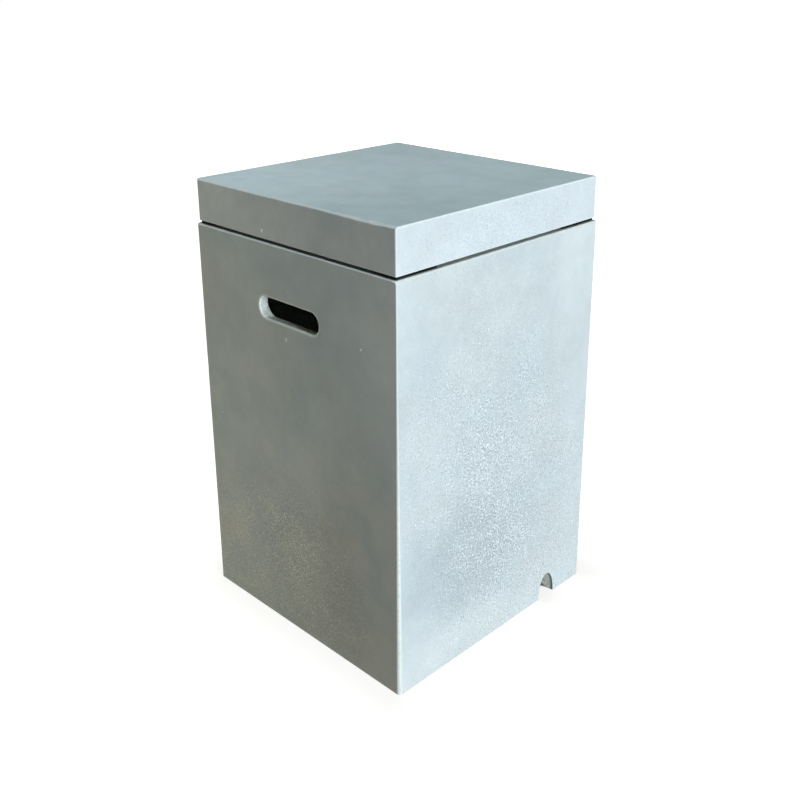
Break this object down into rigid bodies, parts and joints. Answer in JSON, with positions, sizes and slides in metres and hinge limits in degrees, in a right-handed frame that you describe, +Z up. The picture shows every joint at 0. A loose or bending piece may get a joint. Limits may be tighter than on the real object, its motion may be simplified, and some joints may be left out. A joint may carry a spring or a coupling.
{
  "type": "propane tank cover table",
  "caption": "Square cast-concrete cover for an upright gas cylinder and side table, with a lift-off slab lid on rubber pads, hand slots in opposite walls and a hose notch at the foot.",
  "frame": {"origin": "middle of the shell's footprint, on the ground that it stands on", "axes": "+Z up, the hand slots face -Y and +Y, the hose notch faces +X near the +Y corner"},
  "size_m": [0.4, 0.4, 0.643],
  "materials": {
    "shell_concrete": "matt cast concrete with a fine sandy grain",
    "lid_concrete": "matt cast concrete, trowelled smoother than the shell",
    "pad_rubber": "matt black rubber"
  },
  "bodies": {
    "shell": {"shell": "shell_concrete"},
    "lid": {"lid": "lid_concrete", "pad_front_left": "pad_rubber", "pad_front_right": "pad_rubber", "pad_back_right": "pad_rubber", "pad_back_left": "pad_rubber"}
  },
  "joints": [
    {"name": "lid_lift", "type": "slide", "parent": "shell", "child": "lid", "axis": [0, 0, 1], "range_m": [0, 0.15]}
  ]
}
